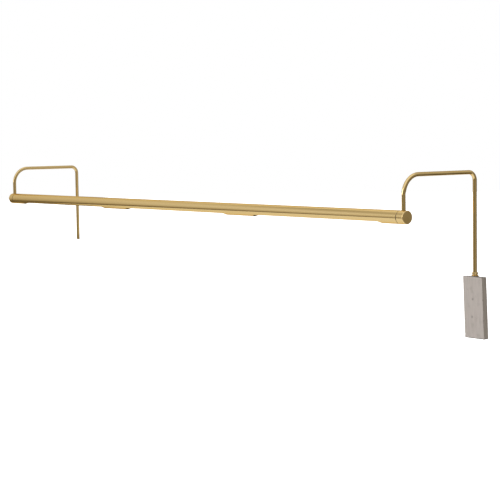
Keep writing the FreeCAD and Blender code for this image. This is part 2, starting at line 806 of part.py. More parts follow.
def make_holder_rivets():
    """The rivets that hold the lamp holders to the trays' tabs."""
    rivets = []
    shank_start = HOLDER_MOUTH + D.holder_depth + D.fit_gap
    tab_end = D.tray_length / 2
    for _, (middle, _, _), outward in lamp_places():
        shank = cylinder(D.rivet_diameter / 2, tab_end - shank_start, (0, 0, shank_start))
        head = cone(
            D.rivet_head / 2, D.rivet_head / 2 - D.edge_bevel, D.rivet_head_height, (0, 0, tab_end)
        )
        rivets.append(place(fuse(shank, head), (middle, 0, 0), outward))
    finished(group(rivets), "holder_rivets", (0, -D.arm_reach, 0))


SPLICE_START = -HALF + NIPPLE_END + D.splice_gap
SPLICE_END = SPLICE_START + D.splice_length


def make_shade_harness():
    """Two wires along the roof of the tube, with short drops into every lamp holder."""
    far_end = D.window_pitch + D.tray_length / 2 - D.drop_inset
    riser = SPLICE_END + D.wire_riser
    corners = [
        (SPLICE_END, 0),
        (riser, 0),
        (riser, D.wire_height),
        (far_end, D.wire_height),
    ]
    bends = [D.wire_bend, D.wire_bend]
    wires = []
    for side in (-1, 1):
        level = D.wire_spacing / 2 * side
        run = bent_tube(corners, bends, D.wire_diameter / 2, plane="XZ_Plane")
        wires.append(place(run, (0, level, 0)))
        for step in WINDOW_STEPS:
            for end in (-1, 1):
                along = D.window_pitch * step + (D.tray_length / 2 - D.drop_inset) * end
                lowest = D.holder_diameter / 2
                drop = cylinder(D.wire_drop / 2, D.wire_height - lowest, (along, level, lowest))
                wires.append(drop)
    finished(fuse(*wires), "shade_harness", (0, -D.arm_reach, 0))


def make_splices():
    """The crimp sleeves that join the arm's lead to the shade's wires."""
    sleeves = []
    for side in (-1, 1):
        position = (SPLICE_START, D.wire_spacing / 2 * side, 0)
        sleeves.append(cylinder(D.splice_diameter / 2, D.splice_length, position, TO_RIGHT))
    finished(group(sleeves), "lead_splices", (0, -D.arm_reach, 0))


# Left arm's supply way


def make_rod_bush():
    """The insulating bush that lines the lower end of the left rod."""
    bore = D.bush_bore / 2
    body = turned([
        (-D.bush_rim, bore),
        (-D.bush_rim, D.bush_flange / 2),
        (0, D.bush_flange / 2),
        (0, ROD_BORE - D.fit_gap),
        (D.bush_length, ROD_BORE - D.fit_gap),
        (D.bush_length, bore),
    ])
    finished(body, "left_rod_bush", (-ROD_X, 0, -D.arm_drop))


def make_arm_lead():
    """The twin lead inside the left arm, and its tail through the pivot nipple."""
    start = -D.arm_drop + D.bush_length + D.lead_spare
    radius = D.lead_diameter / 2
    climb = bent_tube(arm_corners(D.lead_start, start), [D.front_bend, D.back_bend], radius)
    place(climb, (-ROD_X, 0, 0))
    corners = [
        (-ROD_X, D.lead_start),
        (-ROD_X, 0),
        (-HALF + NIPPLE_END + D.lead_spare, 0),
    ]
    tail = bent_tube(corners, [D.lead_bend], radius, plane="XZ_Plane")
    place(tail, (0, -D.arm_reach, 0))
    finished(fuse(climb, tail), "left_arm_lead")


# Right arm's counterweight


def make_counterweight():
    """The bar that hangs on the right rod, sawn a little out of square, drilled for its stud."""
    body = new_body()
    outline = new_sketch(body, "XZ_Plane")
    half_width = D.weight_width / 2
    add_polygon(outline, [
        (-half_width + D.weight_lean_foot, 0),
        (half_width + D.weight_lean_foot, 0),
        (half_width - D.weight_lean_top, D.weight_height),
        (-half_width - D.weight_lean_top, D.weight_height),
    ])
    bar = pad(body, outline, D.weight_thickness, midplane=True)
    doc.recompute()
    edges = body.newObject("PartDesign::Chamfer", "Chamfer")
    edges.Base = (bar, [f"Edge{index + 1}" for index in range(len(bar.Shape.Edges))])
    bind(edges, Size=D.weight_edge)
    depth = D.stud_reach + D.stud_hole_spare
    floor = (0, 0, D.weight_height - depth)
    hole = cylinder(STUD_RADIUS + D.fit_gap, depth + D.overrun, floor)
    finished(cut(body, hole), "counterweight", (ROD_X, 0, -(D.weight_top + D.weight_height)))


def make_weight_stud():
    """The threaded stud that joins the right rod to the counterweight."""
    low, high = -(D.weight_top + D.stud_reach), -D.arm_drop + D.stud_grip
    body = turned([
        (low, 0),
        (low, STUD_RADIUS - D.edge_bevel),
        (low + D.edge_bevel, STUD_RADIUS),
        (high - D.edge_bevel, STUD_RADIUS),
        (high, STUD_RADIUS - D.edge_bevel),
        (high, 0),
    ])
    finished(body, "weight_stud", (ROD_X, 0, 0))


LOCK_WASHER_LOW = -D.weight_top + D.face_gap
LOCK_NUT_LOW = LOCK_WASHER_LOW + D.lock_washer_thickness


def make_lock_washer():
    """The thin washer between the lock nut and the counterweight."""
    bore = STUD_RADIUS + D.fit_gap
    rim = D.lock_washer_diameter / 2
    top = LOCK_NUT_LOW
    body = turned([(LOCK_WASHER_LOW, bore), (LOCK_WASHER_LOW, rim), (top, rim), (top, bore)])
    finished(body, "weight_lock_washer", (ROD_X, 0, 0))


def make_lock_nut():
    """The lock nut on the stud, counterbored so that the rod's end sits in it."""
    blank = hexagon(D.lock_nut_width, D.lock_nut_height, (0, 0, LOCK_NUT_LOW))
    corner = D.lock_nut_width / math.sqrt(3)
    bevel = D.edge_bevel
    top = LOCK_NUT_LOW + D.lock_nut_height
    rounding = turned([
        (LOCK_NUT_LOW, 0),
        (LOCK_NUT_LOW, corner - bevel),
        (LOCK_NUT_LOW + bevel, corner),
        (top - bevel, corner),
        (top, corner - bevel),
        (top, 0),
    ])
    through = through_hole(STUD_RADIUS + D.fit_gap, LOCK_NUT_LOW, D.lock_nut_height)
    seat = cylinder(ROD_RADIUS + D.fit_gap, D.lock_nut_height, (0, 0, -D.arm_drop))
    finished(cut(common(blank, rounding), through, seat), "weight_lock_nut", (ROD_X, 0, 0))


def check_model():
    """Stop if any object failed, or a sub-part isn't a valid solid."""
    for thing in doc.Objects:
        if {"Invalid", "Error"} & set(thing.State):
            raise RuntimeError(f"{thing.Name} ({thing.Label}) failed: {thing.State}")
    for thing in sub_parts:
        shape = thing.Shape
        if shape.isNull() or not shape.isValid() or not shape.Solids:
            raise RuntimeError(f"{thing.Label} is not a valid solid")


def export_sub_parts():
    os.makedirs("parts", exist_ok=True)
    for thing in sub_parts:
        solids = len(thing.Shape.Solids)
        print(f"{thing.Label}: {solids} solid(s), {thing.Shape.Volume / 1000:.3f} cm3")
        thing.Shape.exportStep(f"parts/{thing.Label}.step")


for side_of_light in ENDS:
    make_end_cap(side_of_light)
    make_knuckle(side_of_light)
    make_grub_screw(side_of_light)
    make_friction_washer(side_of_light)
    make_nipple(side_of_light)
    make_spring_washer(side_of_light)
    make_pivot_nut(side_of_light)
    make_shade_plug(side_of_light)
    make_arm_rod(side_of_light)

make_shade_tube()
for tray_number, window_step in enumerate(WINDOW_STEPS, start=1):
    make_lamp_tray(tray_number, window_step)
make_tray_screws()
for lamp_place in lamp_places():
    make_lamp_holder(*lamp_place)
    make_lamp_cap(*lamp_place)
    make_lamp_glass(*lamp_place)
make_holder_rivets()
make_shade_harness()
make_splices()

make_rod_bush()
make_arm_lead()

make_counterweight()
make_weight_stud()
make_lock_washer()
make_lock_nut()

doc.recompute()
check_model()
export_sub_parts()
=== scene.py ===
import math

import bmesh
import bpy
from mathutils import Matrix, Vector, noise


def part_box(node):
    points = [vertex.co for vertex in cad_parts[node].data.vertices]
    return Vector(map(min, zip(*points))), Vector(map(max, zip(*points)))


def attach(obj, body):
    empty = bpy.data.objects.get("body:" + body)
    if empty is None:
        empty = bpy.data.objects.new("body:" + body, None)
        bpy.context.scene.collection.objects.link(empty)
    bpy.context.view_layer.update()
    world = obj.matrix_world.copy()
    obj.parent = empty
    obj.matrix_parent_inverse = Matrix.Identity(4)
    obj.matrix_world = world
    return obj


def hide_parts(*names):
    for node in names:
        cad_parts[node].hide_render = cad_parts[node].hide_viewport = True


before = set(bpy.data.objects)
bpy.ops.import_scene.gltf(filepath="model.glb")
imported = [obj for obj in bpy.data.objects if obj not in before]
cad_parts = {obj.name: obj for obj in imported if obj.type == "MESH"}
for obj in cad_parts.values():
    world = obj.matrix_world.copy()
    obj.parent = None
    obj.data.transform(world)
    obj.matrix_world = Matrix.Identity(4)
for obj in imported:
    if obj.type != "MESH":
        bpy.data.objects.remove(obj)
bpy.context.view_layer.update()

# Everything is in metres. The picture light hangs high on a wall, far above this floor.
MM = 0.001
FLOOR_HEIGHT = -2.4
FLOOR_RADIUS = 60.0

# The glowing cards that only reflections see: name, the axis that each stands across and its
# place on it, its reach along the other two axes, the axis that its light follows, and how
# bright it is along that axis.
CARDS = [
    ("left_wall", 0, -2.0, (-2.9, 0.0), (-3.0, 5.0), 2, [
        (-3.0, 0.92), (-0.82, 0.90), (-0.75, 0.17), (-0.54, 0.16), (-0.34, 0.42), (-0.08, 0.54),
        (0.25, 0.66), (0.5, 0.71), (0.8, 0.77), (1.1, 0.79), (1.5, 0.72), (1.9, 0.60), (2.2, 0.48),
        (2.45, 0.60), (2.8, 0.86), (5.0, 0.95),
    ]),
    ("left_shadow", 0, -1.98, (-0.6, 0.6), (-1.06, -0.74), 1, [
        (-0.6, 0.40), (-0.4, 0.33), (-0.1, 0.22), (0.3, 0.42), (0.6, 0.60),
    ]),
    ("fill", 0, -0.55, (-0.11, 0.40), (-0.115, 0.16), 2, [(-0.115, 0.56), (0.16, 0.56)]),
    ("front_wall", 1, -3.0, (-2.9, 1.6), (-0.115, 0.16), 0, [
        (-2.9, 0.26), (-1.9, 0.30), (-1.0, 0.52), (-0.42, 0.20), (0.2, 0.22), (0.8, 0.28),
        (1.6, 0.16),
    ]),
]
# How bright the rest of the room is from straight down to straight up, as the sine of elevation.
ROOM_LIGHT = [
    (-1.0, 1.0), (-0.6, 0.95), (-0.3, 0.75), (0.0, 0.58), (0.35, 0.74), (0.7, 0.98), (1.0, 1.0),
]
# The patches laid over it: direction, inner and outer degrees, and brightness.
ROOM_PATCHES = [
    ((0.93, 0.15, 0.05), 22, 58, 0.25),
    ((0.05, 0.70, 0.65), 14, 34, 0.56),
    ((0.62, 0.78, -0.08), 7, 18, 0.37),
    ((0.31, 0.95, -0.06), 14, 28, 0.15),
    ((0.30, 0.75, -0.58), 14, 30, 0.06),
    ((-0.25, -0.97, 0.0), 12, 30, 0.40),
    ((0.47, -0.88, -0.05), 20, 40, 0.14),
    ((0.83, -0.56, 0.0), 5, 13, 0.62),
    ((-0.65, 0.76, -0.05), 6, 15, 0.30),
    ((-0.42, -0.85, 0.27), 6, 17, 5.0),
]

# Shapes of the pieces that are built here instead of shown from the CAD model.
FRONT_BEND = 38 * MM
BACK_BEND = 16 * MM
ROD_RADIUS = 3.97 * MM
ROD_WALL = 1.2 * MM
ROD_SEAT = 4 * MM
ROD_GIRTH = 25 * MM
ROD_SIDES = 48
ROD_STEP = 8 * MM
BEND_STEPS = 30
WEIGHT_LEAN = 4.9 * MM
WEIGHT_GRAIN = 0.75 * MM
WINDOW_LENGTH = 380 * MM
WINDOW_WIDTH = 17.5 * MM
WINDOW_CENTRES = (-470 * MM, 0.0, 470 * MM)
WINDOW_END_STEPS = 14
SHADE_WALL = 1 * MM
SHADE_SIDES = 112
SHADE_STEP = 20 * MM
SHARP_ANGLE = math.radians(32)

# Brass: its usual colour, the colour of its streaks, and its tint at a glancing angle on the
# shade and on the rods.
BRASS = (0.80, 0.60, 0.29)
BRASS_DEEP = (0.74, 0.535, 0.24)
SHADE_EDGE = (0.80, 0.62, 0.36)
ROD_EDGE = (0.45, 0.33, 0.17)


# Nodes and materials


def set_inputs(node, inputs):
    """Give a node's sockets their values: another socket is linked, anything else is the value."""
    for key, value in inputs.items():
        socket = node.inputs[key]
        if isinstance(value, bpy.types.NodeSocket):
            node.id_data.links.new(value, socket)
        elif isinstance(value, (tuple, list)) and len(value) == 3 and socket.type == "RGBA":
            socket.default_value = (*value, 1.0)
        else:
            socket.default_value = value


def add_node(tree, kind, inputs=None, **settings):
    """A new node with its settings and inputs."""
    node = tree.nodes.new(kind)
    for key, value in settings.items():
        setattr(node, key, value)
    set_inputs(node, inputs or {})
    return node


def math_node(tree, operation, *values):
    """The result of one arithmetic step."""
    node = add_node(tree, "ShaderNodeMath", operation=operation)
    set_inputs(node, dict(enumerate(values)))
    return node.outputs[0]


def remap(tree, value, low, high, new_low=0.0, new_high=1.0, smooth=True):
    """value moved from the range low..high to new_low..new_high, held at the ends."""
    node = add_node(
        tree,
        "ShaderNodeMapRange",
        {
            "Value": value,
            "From Min": low,
            "From Max": high,
            "To Min": new_low,
            "To Max": new_high,
        },
        interpolation_type="SMOOTHSTEP" if smooth else "LINEAR",
    )
    return node.outputs["Result"]


def mix_colors(tree, share, first, second):
    """Two colours mixed by share."""
    node = add_node(tree, "ShaderNodeMix", data_type="RGBA")
    set_inputs(node, {0: share, 6: first, 7: second})
    return node.outputs[2]


def stretched_noise(tree, coordinates, scale, detail=3.0, roughness=0.5, offset=(0, 0, 0)):
    """Noise whose grain has its own size along each axis, as cycles per metre."""
    mapping = add_node(
        tree, "ShaderNodeMapping", {"Vector": coordinates, "Scale": scale, "Location": offset}
    )
    texture = add_node(
        tree,
        "ShaderNodeTexNoise",
        {
            "Vector": mapping.outputs[0],
            "Scale": 1.0,
            "Detail": detail,
            "Roughness": roughness,
        },
    )
    return texture.outputs[0]


def new_material(name, **values):
    """A material with one Principled shader, and its constant values on the shader itself."""
    material = bpy.data.materials.new(name)
    material.use_nodes = True
    tree = material.node_tree
    shader = tree.nodes["Principled BSDF"]
    set_inputs(shader, values)
    return material, tree, shader


def object_coordinates(tree):
    """The place on the piece, in metres."""
    return add_node(tree, "ShaderNodeTexCoord").outputs["Object"]


def uv_coordinates(tree):
    """The place along and around a rod, in metres."""
    return add_node(tree, "ShaderNodeTexCoord").outputs["UV"]


def add_bump(tree, shader, height, strength, distance):
    """Relief that follows height."""
    bump = add_node(
        tree,
        "ShaderNodeBump",
        {"Height": height, "Strength": strength, "Distance": distance},
    )
    set_inputs(shader, {"Normal": bump.outputs[0]})


def satin_brass(name, coordinates, lines, color=BRASS, deep=BRASS_DEEP, roughness=(0.10, 0.16),
                contrast=0.6, edge=SHADE_EDGE):
    """Satin brass. lines holds the grain of its fine lines and of its streaks, per metre."""
    material, tree, shader = new_material(name, Metallic=1.0)
    set_inputs(shader, {"Specular Tint": edge})
    where = coordinates(tree)
    fine = stretched_noise(tree, where, lines[0], 3.0, 0.6)
    broad = stretched_noise(tree, where, lines[1], 2.0, 0.5, (3.1, 1.7, 0.4))
    tone = mix_colors(tree, remap(tree, broad, 0.35, 0.68, 0.0, contrast), color, deep)
    tone = mix_colors(tree, remap(tree, fine, 0.45, 0.75, 0.0, contrast * 0.5), tone, deep)
    set_inputs(shader, {"Base Color": tone, "Roughness": remap(tree, fine, 0.3, 0.7, *roughness)})
    add_bump(tree, shader, fine, 0.05, 0.00002)
    return material


def brass_materials():
    """The brass of each kind of piece, which differs in the way its lines run."""
    lengthwise = ((7, 1900, 1900), (2, 260, 260))
    around = ((2400, 90, 90), (500, 30, 30))
    along_path = ((8, 420, 1), (4, 120, 1))
    upright = ((900, 900, 3000), (300, 300, 900))
    return {
        "shade": satin_brass("shade_brass", object_coordinates, lengthwise),
        "rods": satin_brass("satin_brass", uv_coordinates, along_path, roughness=(0.09, 0.14),
                            contrast=0.4, edge=ROD_EDGE),
        "ends": satin_brass("end_brass", object_coordinates, lengthwise),
        "turned": satin_brass("turned_brass", object_coordinates, around, roughness=(0.28, 0.38)),
        "nut": satin_brass("nut_brass", object_coordinates, upright, (0.86, 0.66, 0.34),
                           (0.78, 0.55, 0.24), (0.10, 0.16)),
    }


def plated_steel(name, color, shade, roughness, grain):
    """Plated or bare steel with fine turned lines and faint clouding."""
    material, tree, shader = new_material(name, Metallic=1.0)
    where = object_coordinates(tree)
    fine = stretched_noise(tree, where, grain, 4.0, 0.6)
    cloud = stretched_noise(tree, where, (180, 180, 180), 4.0, 0.6, (1.3, 4.0, 2.2))
    tone = mix_colors(tree, remap(tree, cloud, 0.35, 0.7), color, shade)
    set_inputs(shader, {"Base Color": tone, "Roughness": remap(tree, fine, 0.3, 0.7, *roughness)})
    add_bump(tree, shader, fine, 0.3, 0.00005)
    return material


def moulded_plastic(name, color, shade, roughness, grain=900, coat=0.0):
    """Moulded or painted stuff: a fine skin texture, with a slow change in tone."""
    material, tree, shader = new_material(name, Metallic=0.0)
    set_inputs(shader, {"Coat Weight": coat, "Coat Roughness": 0.12})
    where = object_coordinates(tree)
    skin = stretched_noise(tree, where, (grain,) * 3, 3.0, 0.6)
    cloud = stretched_noise(tree, where, (60, 60, 60), 3.0, 0.5, (2.0, 0.7, 5.1))
    tone = mix_colors(tree, remap(tree, cloud, 0.35, 0.7), color, shade)
    set_inputs(shader, {"Base Color": tone, "Roughness": remap(tree, skin, 0.3, 0.7, *roughness)})
    add_bump(tree, shader, skin, 0.25, 0.0001)
    return material


def frosted_glass():
    """The lamp's glass, frosted inside: mostly a soft white, with a little light let through."""
    material, tree, shader = new_material("frosted_glass")
    set_inputs(shader, {"Transmission Weight": 0.35, "IOR": 1.5, "Coat Weight": 0.6,
                        "Coat Roughness": 0.06})
    where = object_coordinates(tree)
    frost = stretched_noise(tree, where, (2500, 2500, 2500), 2.0, 0.6)
    cloud = stretched_noise(tree, where, (90, 260, 260), 3.0, 0.5)
    tone = mix_colors(tree, remap(tree, cloud, 0.3, 0.7), (0.93, 0.92, 0.89), (0.87, 0.86, 0.82))
    set_inputs(shader, {"Base Color": tone, "Roughness": remap(tree, frost, 0.3, 0.7, 0.42, 0.58)})
    return material


def weight_metal():
    """Sawn grey metal: streaks up and down, darker blotches, speckles, worn edges, and painted shade
    read from the bar's mesh.
    """
    material, tree, shader = new_material("weight_metal", Metallic=0.35)
    where = object_coordinates(tree)
    streaks = stretched_noise(tree, where, (620, 620, 22), 4.0, 0.6)
    fine = stretched_noise(tree, where, (2400, 2400, 160), 3.0, 0.6, (4.0, 2.0, 1.0))
    blotches = stretched_noise(tree, where, (70, 70, 52), 5.0, 0.62, (0.5, 3.3, 0.2))
    speckles = stretched_noise(tree, where, (900, 900, 900), 2.0, 0.5, (7.0, 0.0, 3.0))
    tone = mix_colors(tree, remap(tree, streaks, 0.35, 0.68), (0.575, 0.525, 0.495),
                      (0.495, 0.445, 0.42))
    tone = mix_colors(tree, remap(tree, blotches, 0.52, 0.75, 0.0, 0.55), tone,
                      (0.36, 0.325, 0.29))
    tone = mix_colors(tree, remap(tree, fine, 0.55, 0.8, 0.0, 0.35), tone, (0.68, 0.64, 0.60))
    tone = mix_colors(tree, remap(tree, speckles, 0.66, 0.8, 0.0, 0.3), tone,
                      (0.25, 0.22, 0.20))
    # The bar's worn edges, stains and painted shade from its mesh, laid on in a near-black brown.
    wear_and_shade = add_node(tree, "ShaderNodeAttribute", attribute_name="wear_and_painted_shade").outputs["Fac"]
    tone = mix_colors(tree, remap(tree, wear_and_shade, 0.0, 1.0, 0.0, 0.92), tone, (0.13, 0.115, 0.10))
    set_inputs(shader, {"Base Color": tone})
    set_inputs(shader, {"Roughness": remap(tree, streaks, 0.3, 0.7, 0.42, 0.62)})
    rough = math_node(tree, "ADD", math_node(tree, "MULTIPLY", fine, 0.6), streaks)
    add_bump(tree, shader, rough, 0.5, 0.00016)
    return material


# Meshes


def new_piece(name, bm, body, material, stands_for=()):
    """Turn a bmesh into a piece of the object that rides on a CAD body."""
    bmesh.ops.recalc_face_normals(bm, faces=bm.faces)
    mesh = bpy.data.meshes.new(name)
    bm.to_mesh(mesh)
    bm.free()
    mesh.shade_smooth()
    mesh.set_sharp_from_angle(angle=SHARP_ANGLE)
    piece = bpy.data.objects.new(name, mesh)
    bpy.context.scene.collection.objects.link(piece)
    mesh.materials.append(material)
    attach(piece, body)
    if stands_for:
        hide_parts(*stands_for)
    return piece


def ring_between(bm, first, second, closed=True, uv=None, spans=None):
    """Quads from one ring of points to the next. spans is how far along a rod each ring lies."""
    count = len(first) if closed else len(first) - 1
    for index in range(count):
        after = (index + 1) % len(first)
        corners = (first[index], first[after], second[after], second[index])
        if len(set(corners)) < 4:
            continue
        face = bm.faces.new(corners)
        if uv:
            near, far = spans
            values = ((near, index), (near, index + 1), (far, index + 1), (far, index))
            for loop, (along, around) in zip(face.loops, values):
                loop[uv].uv = (along, around / count * ROD_GIRTH)


def round_ring(bm, centre, across, up, size, sides):
    """A ring of points about centre, in the plane of two directions."""
    points = []
    for step in range(sides):
        angle = 2 * math.pi * step / sides
        points.append(bm.verts.new(
            centre + (across * math.cos(angle) + up * math.sin(angle)) * size
        ))
    return points


def bent_path(corners, radii):
    """Points and directions along straight runs with arcs at the inner corners."""
    places = []
    point = corners[0]
    for index, radius in enumerate(radii):
        corner = corners[index + 1]
        before = (corner - corners[index]).normalized()
        after = (corners[index + 2] - corner).normalized()
        start = corner - before * radius
        steps = max(1, math.ceil((start - point).length / ROD_STEP))
        for step in range(steps):
            places.append((point.lerp(start, step / steps), before))
        centre = start + after * radius
        for step in range(BEND_STEPS):
            angle = math.pi / 2 * step / BEND_STEPS
            place = centre - after * radius * math.cos(angle) + before * radius * math.sin(angle)
            places.append((place, before * math.cos(angle) + after * math.sin(angle)))
        point = centre + before * radius
    last = corners[-1]
    direction = (last - point).normalized()
    steps = max(1, math.ceil((last - point).length / ROD_STEP))
    for step in range(steps + 1):
        places.append((point.lerp(last, step / steps), direction))
    return places


def bent_rod(name, node, body, material):
    """The bent arm tube, with its hollow and a broken edge at each end."""
    low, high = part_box(node)
    radius = (high.x - low.x) / 2
    middle = (low.x + high.x) / 2
    front, back = low.y + radius, high.y - radius
    top = high.z - radius
    corners = [
        Vector((middle, front, ROD_SEAT)),
        Vector((middle, front, top)),
        Vector((middle, back, top)),
        Vector((middle, back, low.z)),
    ]
    across = Vector((1, 0, 0))
    bm = bmesh.new()
    uv = bm.loops.layers.uv.new("along")
    places = bent_path(corners, [FRONT_BEND, BACK_BEND])
    bevel = 0.3 * MM
    bore = radius - ROD_WALL
    first, last = places[0], places[-1]
    outline = [(first[0], first[1], bore), (first[0], first[1], radius - bevel)]
    outline.append((first[0] + first[1] * bevel, first[1], radius))
    outline += [(place, direction, radius) for place, direction in places[1:-1]]
    outline.append((last[0] - last[1] * bevel, last[1], radius))
    outline += [(last[0], last[1], radius - bevel), (last[0], last[1], bore)]
    outline += [(place, direction, bore) for place, direction in places[-2:0:-1]]
    rings = [
        round_ring(bm, place, across, across.cross(direction), size, ROD_SIDES)
        for place, direction, size in outline
    ]
    travelled = 0.0
    for index, points in enumerate(rings):
        after = (index + 1) % len(rings)
        step = (outline[after][0] - outline[index][0]).length
        ring_between(bm, points, rings[after], uv=uv, spans=(travelled, travelled + step))
        travelled += step
    return new_piece(name, bm, body, material, [node])


def window_half_width(x):
    """Half the width of the windows' cut at x, seen from below, or 0 outside them."""
    end_radius = WINDOW_WIDTH / 2
    for centre in WINDOW_CENTRES:
        past = abs(x - centre) - (WINDOW_LENGTH / 2 - end_radius)
        if past <= 0:
            return end_radius
        if past < end_radius:
            return math.sqrt(end_radius ** 2 - past ** 2)
    return 0.0


def tube_stations(low, high):
    """Places along the tube: even runs, with close steps round the windows' ends."""
    marks = {low, high}
    end_radius = WINDOW_WIDTH / 2
    for centre in WINDOW_CENTRES:
        for side in (-1, 1):
            for step in range(WINDOW_END_STEPS + 1):
                angle = math.pi / 2 * step / WINDOW_END_STEPS
                past = WINDOW_LENGTH / 2 - end_radius + end_radius * math.sin(angle)
                marks.add(centre + side * past)
    ordered = sorted(marks)
    stations = []
    for start, end in zip(ordered, ordered[1:]):
        count = max(1, round((end - start) / SHADE_STEP))
        stations += [start + (end - start) * step / count for step in range(count)]
    return stations + [high]


def shade_tube(material):
    """The tube, with three round-ended windows cut straight up through its underside."""
    low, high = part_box("shade_tube")
    axis_y = (low.y + high.y) / 2
    outer = (high.y - low.y) / 2
    bm = bmesh.new()

    def ring(x, radius, half_width):
        opening = math.asin(min(1.0, half_width / radius))
        count = SHADE_SIDES + (1 if half_width else 0)
        points = []
        for step in range(count):
            angle = opening + (2 * math.pi - 2 * opening) * step / SHADE_SIDES
            y = axis_y + radius * math.sin(angle)
            points.append(bm.verts.new((x, y, -radius * math.cos(angle))))
        if not half_width:
            points.append(points[0])
        return points

    bevel = 0.25 * MM
    inner = outer - SHADE_WALL
    stations = tube_stations(low.x, high.x)
    rows = [(low.x, inner, 0.0), (low.x, outer - bevel, 0.0), (low.x + bevel, outer, 0.0)]
    rows += [(x, outer, window_half_width(x)) for x in stations[1:-1]]
    rows += [(high.x - bevel, outer, 0.0), (high.x, outer - bevel, 0.0), (high.x, inner, 0.0)]
    inside = [(x, inner, window_half_width(x)) for x in stations[1:-1]]
    outer_rings = [ring(*row) for row in rows]
    inner_rings = [outer_rings[0]] + [ring(*row) for row in inside] + [outer_rings[-1]]
    for first, second in zip(outer_rings, outer_rings[1:]):
        ring_between(bm, first, second, closed=False)
    for first, second in zip(inner_rings, inner_rings[1:]):
        ring_between(bm, second, first, closed=False)
    # The rings that the windows can cut lie inside the three that shape each end.
    wall_outer = outer_rings[3:-3]
    wall_inner = inner_rings[1:-1]
    for index in range(len(wall_outer) - 1):
        here, there = wall_outer[index], wall_outer[index + 1]
        here_in, there_in = wall_inner[index], wall_inner[index + 1]
        for side in (0, -1):
            corners = []
            for vert in (here[side], there[side], there_in[side], here_in[side]):
                if vert not in corners:
                    corners.append(vert)
            open_here = here[0] is not here[-1]
            open_there = there[0] is not there[-1]
            if len(corners) >= 3 and (open_here or open_there):
                bm.faces.new(corners)
    return new_piece("shade_tube_brushed", bm, "shade", material, ["shade_tube"])


def lamp_cap(number, metal, insulator):
    """A lamp's screw cap: a rolled thread, a glass insulator and a soldered centre contact."""
    node = f"lamp_cap_{number}"
    low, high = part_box(node)
    axis_y, axis_z = (low.y + high.y) / 2, (low.z + high.z) / 2
    radius = (high.y - low.y) / 2
    glass_low, glass_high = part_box(f"lamp_glass_{number}")
    outward = -1 if (low.x + high.x) < (glass_low.x + glass_high.x) else 1
    mouth = high.x if outward < 0 else low.x
    length = high.x - low.x
    shell = length - 3.2 * MM
    pitch, depth = 2.6 * MM, 0.42 * MM
    fade_in, fade_out = 2 * MM, 1.5 * MM
    sides, rows = 40, 56
    bm = bmesh.new()

    def ring(along, size_at):
        """A ring of points at a distance from the mouth. size_at gives its radius at a turn."""
        points = []
        for step in range(sides):
            turn = step / sides
            angle = 2 * math.pi * turn
            size = size_at(turn)
            points.append(bm.verts.new((
                mouth + outward * along,
                axis_y + size * math.cos(angle),
                axis_z + size * math.sin(angle),
            )))
        return points

    def thread_ring(along):
        fade = max(0.0, min(1.0, along / fade_in, (shell - along) / fade_out))

        def size_at(turn):
            wave = 0.5 - 0.5 * math.cos(2 * math.pi * (along / pitch + turn))
            return radius - depth * fade * wave

        return ring(along, size_at)

    # Distance from the mouth and share of the radius, from the shell's shoulder to the contact.
    end_profile = [
        (shell + 0.5 * MM, 0.93),
        (shell + 0.8 * MM, 0.78),
        (shell + 1.6 * MM, 0.60),
        (shell + 1.9 * MM, 0.40),
        (length - 0.5 * MM, 0.37),
        (length - 0.1 * MM, 0.24),
        (length, 0.10),
    ]
    rings = [thread_ring(shell * row / rows) for row in range(rows + 1)]
    rings += [ring(along, lambda turn: radius * share) for along, share in end_profile]
    for first, second in zip(rings, rings[1:]):
        ring_between(bm, first, second)
    bm.faces.new(rings[0])
    bm.faces.new(rings[-1])
    piece = new_piece(f"lamp_cap_threaded_{number}", bm, "shade", metal, [node])
    piece.data.materials.append(insulator)
    insulator_start = shell + 0.6 * MM
    contact_radius = radius * 0.42
    for face in piece.data.polygons:
        along = (face.center.x - mouth) * outward
        reach = math.hypot(face.center.y - axis_y, face.center.z - axis_z)
        if along > insulator_start and reach > contact_radius:
            face.material_index = 1
    return piece


def even_mesh(node):
    """A bmesh of a CAD node remade with small faces of one size."""
    blank = bpy.data.objects.new("blank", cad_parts[node].data.copy())
    bpy.context.scene.collection.objects.link(blank)
    remesh = blank.modifiers.new("remesh", "REMESH")
    remesh.mode = "VOXEL"
    remesh.voxel_size = WEIGHT_GRAIN
    view = blank.evaluated_get(bpy.context.evaluated_depsgraph_get())
    bm = bmesh.new()
    bm.from_mesh(view.to_mesh())
    view.to_mesh_clear()
    bpy.data.objects.remove(blank)
    bmesh.ops.smooth_vert(bm, verts=bm.verts, factor=0.3, use_axis_x=True, use_axis_y=True,
                          use_axis_z=True)
    bm.normal_update()
    return bm


